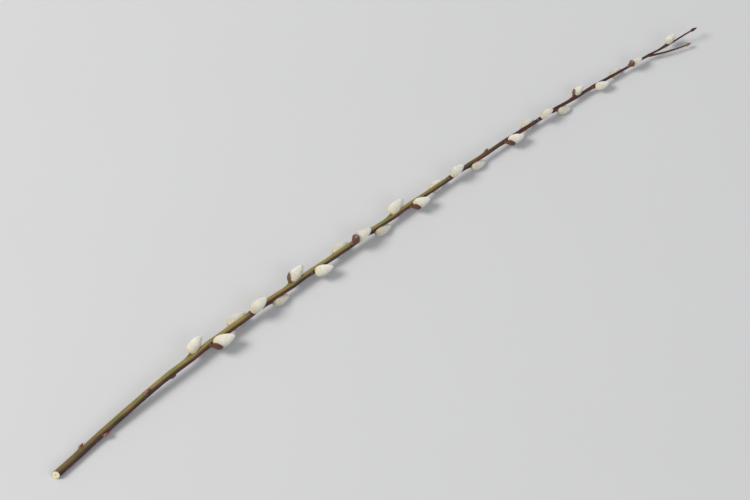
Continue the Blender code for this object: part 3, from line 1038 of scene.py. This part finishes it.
def makeHairs(stand, seed):
    # roots on a golden spiral, as many on equal areas; a hair is a three-sided spike over a bent line
    v = hairValues
    draw = np.random.default_rng(seed)
    count = v["count"]
    number = np.arange(count) + 0.5
    fine = np.linspace(*v["roots"], 400)
    area = np.cumsum(teardrop(fine) + v["poleArea"])
    root = np.interp(number / count * area[-1], area, fine)
    angle = number * v["turn"] + draw.normal(0, v["turnJitter"], count)
    length = v["length"] * draw.uniform(*v["lengths"], count) * mix(1.0, v["tipLength"], root)
    swirl = draw.normal(0, v["swirl"][1], count) + v["swirl"][0]
    lift = v["lift"] * draw.uniform(*v["lifts"], count)
    lift = np.where(draw.random(count) < v["stray"], lift * v["strayLift"], lift)
    steps = np.array([0.0, 0.5, 1.0])[:, None]
    share = 1 - (1 - root) * np.exp(-length * steps / (1 - root))  # slows down so as to stop at the tip
    reach = v["rootReach"] + lift * np.array([0.0, 1.0, v["endLift"]])[:, None]
    more, moreFrom, moreRun = v["tipLoft"]
    endLoft = v["loft"][1] + more * smooth((root - moreFrom) / moreRun)
    loft = v["loft"][0] + endLoft * steps * draw.uniform(0, 1, count)
    points = clearOfRod(onCatkin(stand, share, angle + swirl * steps, reach, loft), stand)

    # three corners round the root and the middle, and one point at the end
    forward = unit(np.stack([points[1] - points[0], points[2] - points[0]]))
    spread = unit(np.cross(forward, stand["out"] + 0.3 * stand["across"]))
    lifted = np.cross(forward, spread)
    thick = v["radius"] * np.array(v["rings"])[:, None, None, None] * stand["length"] / v["radiusLength"]
    corner = angles(3)[:, None]
    ray = spread[:, :, None] * np.cos(corner) + lifted[:, :, None] * np.sin(corner)
    rings = points[:2, :, None] + ray * thick
    vertices = np.concatenate([rings[0], rings[1], points[2][:, None]], 1)
    vertices[..., 2] = np.maximum(vertices[..., 2], 0)
    before = np.arange(count)[:, None, None] * 7
    quads = np.array([[0, 1, 4, 3], [1, 2, 5, 4], [2, 0, 3, 5]]) + before
    triangles = np.array([[0, 2, 1], [3, 4, 6], [4, 5, 6], [5, 3, 6]]) + before
    outTo = np.tile([0, 0, 0, 0.5, 0.5, 0.5, 1.0], (count, 1))
    values = {
        "toTip": np.clip(root[:, None] + outTo * length[:, None], 0, 1).ravel(),
        "outTo": outTo.ravel(),
        "tone": np.repeat(draw.random(count), 7),
    }
    return (vertices.reshape(-1, 3), quads.reshape(-1, 4), triangles.reshape(-1, 3)), values


def makeCatkin(number, stand):
    # the core and its hairs as one piece, each with its own material
    seed = hairValues["seed"] + number
    core, coreValue = makeCore(stand, seed)
    hairs, hairValue = makeHairs(stand, seed)
    start = len(core[0])
    shape = [np.concatenate([core[0], hairs[0]])]
    shape = shape + [np.concatenate([core[kind], hairs[kind] + start]) for kind in (1, 2)]
    counts = [len(core[1]), len(hairs[1]), len(core[2]), len(hairs[2])]
    isHair = np.repeat([0, 1, 0, 1], counts)
    values = {}
    for key in ("toTip", "bract", "outTo", "tone"):
        onCore = coreValue.get(key, np.zeros(start))
        onHairs = hairValue.get(key, np.zeros(len(hairs[0])))
        values[key] = np.concatenate([onCore, onHairs])
    name, replaced = f"silk_{number:02d}", f"catkin_{number:02d}"
    makePiece(name, shape, [silkSkin, silkHair], values, replaced, isHair, 80)


bearing = [node for node in nodes if node["bears"] == "catkin"]
stands = [standOf(node, f"catkin_{number:02d}") for number, node in enumerate(bearing, 1)]
for number, stand in enumerate(stands, 1):
    makeCatkin(number, stand)


# The bud scales that cling to every other catkin on the upper side

scaleValues = {
    "every": 2,
    "reach": 0.40,
    "thickness": (0.45, 0.11),  # at the foot and at the point
    "clearance": 0.75,
    "flare": 0.35,
    "opening": math.radians(60),
    "narrowing": 1.25,
    "closing": 0.49,  # 0.5 would close it to a point
    "rootBack": 2.4,
    "rootWidth": 2.0,
    "rootSunk": 0.5,
    "rootHeight": 0.3,  # of the shoulder's
    "rootRun": 0.2,  # the share of a scale that is its root
    "bowlFrom": 0.26,  # the share from which on it follows the catkin
    "floorGap": 0.2,
    "rib": 0.07,
    "ribs": 5,
    "wrinkle": 0.16,
    "seed": 50,
    "rows": 26,
    "columns": 25,
}


def makeBudScales():
    # two sheets over (across, up): a narrow root widens into a bowl round the catkin's foot, and
    # half the width of the bowl falls to its point as a cosine of a power of the way up
    v = scaleValues
    upper = [pair for pair in zip(bearing, stands) if math.sin(pair[0]["side"]) > 0][1::v["every"]]
    across = np.linspace(-1, 1, v["columns"])
    up = np.linspace(0, 1, v["rows"])[:, None]
    part = np.clip((up - v["rootRun"]) / (1 - v["rootRun"]), 0, 1)
    share = mix(catkinValues["start"], v["reach"], part) + 0 * across
    opening = v["opening"] * np.cos(v["closing"] * np.pi * part ** v["narrowing"]) * across
    ribs = v["rib"] * np.cos(v["ribs"] * np.pi * across) * (1 - part)
    flare = v["clearance"] + v["flare"] * part**3 + ribs
    blend = smooth(up / v["bowlFrom"])[..., None]
    edge = np.broadcast_to(np.maximum(np.abs(across) * smooth(part / 0.3), part**2), share.shape)
    grids = []
    for number, (node, stand) in enumerate(upper):
        along = node["along"] - v["rootBack"]
        dry = flare + v["wrinkle"] * part * waves(part * 9, across * 3, v["seed"] + number)
        height = rodRadius(along) + v["rootHeight"] * node["shoulder"]
        root = centre(along) + outward(along, node["side"]) * height
        row = root + stand["across"] * (v["rootWidth"] / 2 * across)[:, None]
        sheets = []
        for isOuter in (1, 0):
            bowl = onCatkin(stand, share, opening, 1.0, dry + isOuter * mix(*v["thickness"], part))
            foot = row + stand["out"] * (isOuter * v["thickness"][0] - v["rootSunk"])
            sheets.append(mix(foot, bowl, blend))
        loop = np.concatenate([sheets[0], sheets[1][:, ::-1]], axis=1)
        loop[..., 2] = np.maximum(loop[..., 2], v["floorGap"])
        grids.append(loop)
    toTip = np.broadcast_to(up, (len(grids), v["rows"], 2 * v["columns"]))
    edge = np.broadcast_to(np.concatenate([edge, edge[:, ::-1]], axis=1), toTip.shape)
    values = {"toTip": gridValues(toTip, 0, 1), "edge": gridValues(edge, 0, 1)}
    shape = closedGrids(np.stack(grids))
    makePiece("budScales", shape, [scaleSkin], values, "branch_rod", None, 50)


makeBudScales()


# Floor, light and camera

studio = {
    "floor": (0.565, 0.565, 0.568),
    "floorShade": (0.53, 0.53, 0.53),
    "floorShadeShare": 0.12,
    "floorGrain": (30.0, 30.0, 8.0),
    "floorRoughness": 0.85,
    "floorReach": 6.0,
    "sky": (0.95, 0.97, 1.0),
    "skyStrength": 0.52,
    "lights": {  # place, size, power and colour
        "keyLight": ((-2.6, 2.4, 3.6), (1.9, 1.9), 206.0, (1.0, 0.985, 0.96)),
        "fillLight": ((1.2, -4.0, 3.0), (4.0, 2.5), 47.0, (0.95, 0.97, 1.0)),
    },
    "azimuth": 36.7,  # the camera's turn, so that the branch lies from lower left to upper right
    "elevation": 68.0,
    "distance": 2.6,
    "frameWidth": 0.672,  # metres of the scene that the picture spans
    "aim": (-0.009, -0.009, 0.006),
    "sensor": 36.0,
}


def makeFloor():
    # a large plain sheet with a very faint mottling
    v = studio
    reach = v["floorReach"]
    mesh = bpy.data.meshes.new("floor")
    corners = [(-reach, -reach, 0), (reach, -reach, 0), (reach, reach, 0), (-reach, reach, 0)]
    mesh.from_pydata(corners, [], [(0, 1, 2, 3)])
    material, tree, shader = newMaterial("paleFloor", v["floorRoughness"], v["floor"])
    _, mottle, _ = grain(tree, *v["floorGrain"])
    shade = times(tree, mottle, v["floorShadeShare"], (-3, 2))
    colour = blendColours(tree, shade, v["floor"], v["floorShade"], (-2, 1))
    tree.links.new(colour, shader.inputs["Base Color"])
    mesh.materials.append(material)
    floor = newObject("floor", mesh)


def makeLights():
    # two soft panels that face the middle of the branch, and an even pale sky
    for name, (place, size, power, colour) in studio["lights"].items():
        light = bpy.data.lights.new(name, "AREA")
        light.shape = "RECTANGLE"
        light.size, light.size_y = size
        light.energy, light.color = power, colour
        lamp = newObject(name, light)
        lamp.location = place
        lamp.rotation_euler = (-Vector(place)).to_track_quat("-Z", "Y").to_euler()
    world = bpy.data.worlds.new("paleRoom")
    bpy.context.scene.world = world
    world.use_nodes = True
    background = world.node_tree.nodes["Background"]
    background.inputs["Color"].default_value = (*studio["sky"], 1)
    background.inputs["Strength"].default_value = studio["skyStrength"]
    bpy.context.scene.view_settings.view_transform = "Standard"


def makeCamera():
    # on a line from the aim: back by the azimuth, and up by the elevation
    v = studio
    turned, raised = math.radians(v["azimuth"]), math.radians(v["elevation"])
    level = math.cos(raised)
    back = Vector((-math.sin(turned) * level, -math.cos(turned) * level, math.sin(raised)))
    data = bpy.data.cameras.new("camera")
    data.sensor_width = v["sensor"]
    data.lens = v["sensor"] * v["distance"] / v["frameWidth"]
    data.clip_start, data.clip_end = 0.1, 20.0
    camera = newObject("camera", data)
    camera.location = Vector(v["aim"]) + back * v["distance"]
    camera.rotation_euler = (-back).to_track_quat("-Z", "Y").to_euler()
    bpy.context.scene.camera = camera


makeFloor()
makeLights()
makeCamera()
print("floor, lights and camera made")
